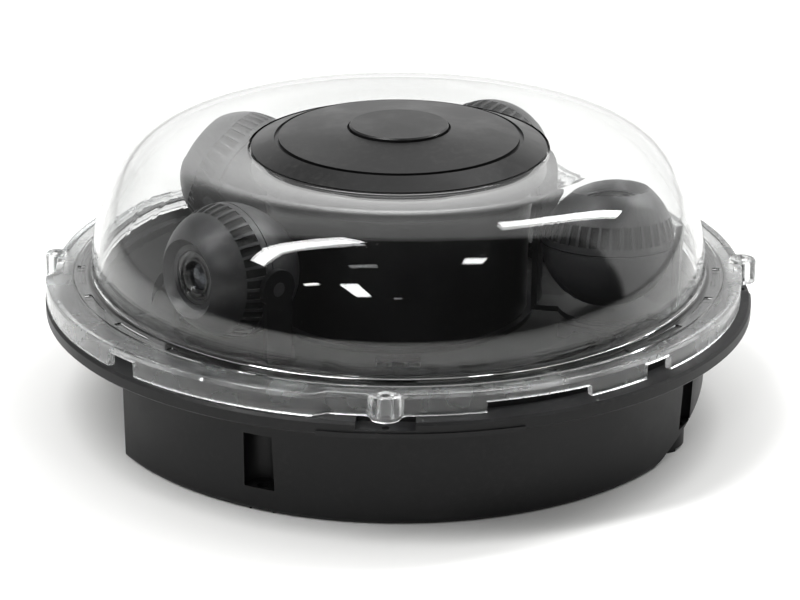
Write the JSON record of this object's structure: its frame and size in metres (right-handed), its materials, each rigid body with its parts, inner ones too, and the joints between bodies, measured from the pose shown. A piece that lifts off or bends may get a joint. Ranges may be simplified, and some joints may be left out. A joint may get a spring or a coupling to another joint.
{
  "type": "multi-sensor dome camera",
  "caption": "Surface-mounted surveillance camera: round black base, clear ring-shaped dome with a black centre cap, and ball cameras on a circular track inside.",
  "frame": {"origin": "centre of the base's flat underside", "axes": "+Z from the mounting face towards the dome's centre cap, -Y towards the front of the picture, +X to its right"},
  "size_m": [0.3074, 0.3075, 0.1243],
  "materials": {
    "black_housing": "lightly textured satin",
    "black_cap": "fine matte texture",
    "cap_button": "fine matte texture",
    "black_inner": "satin",
    "black_ball": "satin",
    "black_metal": "black powder coat",
    "black_rubber": "matte",
    "clear_cover": "clear and polished",
    "lens_black": "semi-gloss",
    "lens_glass": "coated and polished",
    "board_green": "solder mask",
    "aluminium": "extruded",
    "jack_metal": "plated",
    "steel": "plated"
  },
  "bodies": {
    "base": {"base_housing": "black_housing", "cover_seal": "black_rubber", "chassis": "black_metal", "chassis_screws": "steel", "track_rail": "black_inner", "hub_cover": "black_inner", "hub_screws": "steel", "main_board": "board_green", "heat_sink": "aluminium", "network_jack": "jack_metal", "board_screws": "steel", "cable_grommet": "black_rubber", "conduit_plug": "black_housing"},
    "cover": {"dome_cover": "clear_cover", "cap_seal": "black_rubber", "centre_cap": "black_cap", "cap_clamp_ring": "black_inner", "cap_clamp_screws": "steel"},
    "plug": {"centre_plug": "cap_button"},
    "carriage_front_left": {"carriage_front_left": "black_inner"},
    "head_front_left": {"yoke_front_left": "black_inner"},
    "ball_front_left": {"ball_rear_front_left": "black_ball", "ball_front_front_left": "black_ball"},
    "lens_front_left": {"lens_barrel_front_left": "lens_black", "lens_glass_front_left": "lens_glass", "sensor_board_front_left": "board_green"},
    "carriage_right": {"carriage_right": "black_inner"},
    "head_right": {"yoke_right": "black_inner"},
    "ball_right": {"ball_rear_right": "black_ball", "ball_front_right": "black_ball"},
    "lens_right": {"lens_barrel_right": "lens_black", "lens_glass_right": "lens_glass", "sensor_board_right": "board_green"},
    "carriage_rear_right": {"carriage_rear_right": "black_inner"},
    "head_rear_right": {"yoke_rear_right": "black_inner"},
    "ball_rear_right": {"ball_rear_rear_right": "black_ball", "ball_front_rear_right": "black_ball"},
    "lens_rear_right": {"lens_barrel_rear_right": "lens_black", "lens_glass_rear_right": "lens_glass", "sensor_board_rear_right": "board_green"},
    "carriage_rear_left": {"carriage_rear_left": "black_inner"},
    "head_rear_left": {"yoke_rear_left": "black_inner"},
    "ball_rear_left": {"ball_rear_rear_left": "black_ball", "ball_front_rear_left": "black_ball"},
    "lens_rear_left": {"lens_barrel_rear_left": "lens_black", "lens_glass_rear_left": "lens_glass", "sensor_board_rear_left": "board_green"}
  },
  "joints": [
    {"name": "cover_lift", "type": "slide", "parent": "base", "child": "cover", "axis": [0, 0, 1], "range_m": [0, 0.12]},
    {"name": "plug_lift", "type": "slide", "parent": "cover", "child": "plug", "axis": [0, 0, 1], "range_m": [0, 0.03]},
    {"name": "track_front_left", "type": "hinge", "parent": "base", "child": "carriage_front_left", "pos_m": [0, 0, 0.0495], "axis": [0, 0, 1], "range_deg": [-17, 38]},
    {"name": "pan_front_left", "type": "hinge", "parent": "carriage_front_left", "child": "head_front_left", "pos_m": [-0.06741, -0.05964, 0.0495], "axis": [0, 0, 1], "range_deg": [-175, 175]},
    {"name": "tilt_front_left", "type": "hinge", "parent": "head_front_left", "child": "ball_front_left", "pos_m": [-0.06741, -0.05964, 0.0805], "axis": [-0.6626, 0.749, 0], "range_deg": [-13, 92]},
    {"name": "twist_front_left", "type": "hinge", "parent": "ball_front_left", "child": "lens_front_left", "pos_m": [-0.06741, -0.05964, 0.0805], "axis": [-0.7479, -0.6617, 0.0523], "range_deg": [-90, 90]},
    {"name": "track_right", "type": "hinge", "parent": "base", "child": "carriage_right", "pos_m": [0, 0, 0.0495], "axis": [0, 0, 1], "range_deg": [-38, 17]},
    {"name": "pan_right", "type": "hinge", "parent": "carriage_right", "child": "head_right", "pos_m": [0.08693, -0.02329, 0.0495], "axis": [0, 0, 1], "range_deg": [-175, 175]},
    {"name": "tilt_right", "type": "hinge", "parent": "head_right", "child": "ball_right", "pos_m": [0.08693, -0.02329, 0.0805], "axis": [0.9781, -0.2079, 0], "range_deg": [-95, 10]},
    {"name": "twist_right", "type": "hinge", "parent": "ball_right", "child": "lens_right", "pos_m": [0.08693, -0.02329, 0.0805], "axis": [0.0181, 0.0853, 0.9962], "range_deg": [-90, 90]},
    {"name": "track_rear_right", "type": "hinge", "parent": "base", "child": "carriage_rear_right", "pos_m": [0, 0, 0.0495], "axis": [0, 0, 1], "range_deg": [-17, 17]},
    {"name": "pan_rear_right", "type": "hinge", "parent": "carriage_rear_right", "child": "head_rear_right", "pos_m": [0.04086, 0.08019, 0.0495], "axis": [0, 0, 1], "range_deg": [-175, 175]},
    {"name": "tilt_rear_right", "type": "hinge", "parent": "head_rear_right", "child": "ball_rear_right", "pos_m": [0.04086, 0.08019, 0.0805], "axis": [0.8192, -0.5736, 0], "range_deg": [-32, 73]},
    {"name": "twist_rear_right", "type": "hinge", "parent": "ball_rear_right", "child": "lens_rear_right", "pos_m": [0.04086, 0.08019, 0.0805], "axis": [0.5318, 0.7595, 0.3746], "range_deg": [-90, 90]},
    {"name": "track_rear_left", "type": "hinge", "parent": "base", "child": "carriage_rear_left", "pos_m": [0, 0, 0.0495], "axis": [0, 0, 1], "range_deg": [-17, 17]},
    {"name": "pan_rear_left", "type": "hinge", "parent": "carriage_rear_left", "child": "head_rear_left", "pos_m": [-0.06844, 0.05845, 0.0495], "axis": [0, 0, 1], "range_deg": [-175, 175]},
    {"name": "tilt_rear_left", "type": "hinge", "parent": "head_rear_left", "child": "ball_rear_left", "pos_m": [-0.06844, 0.05845, 0.0805], "axis": [0.4462, 0.8949, 0], "range_deg": [-38, 67]},
    {"name": "twist_rear_left", "type": "hinge", "parent": "ball_rear_left", "child": "lens_rear_left", "pos_m": [-0.06844, 0.05845, 0.0805], "axis": [-0.7902, 0.394, 0.4695], "range_deg": [-90, 90]}
  ]
}
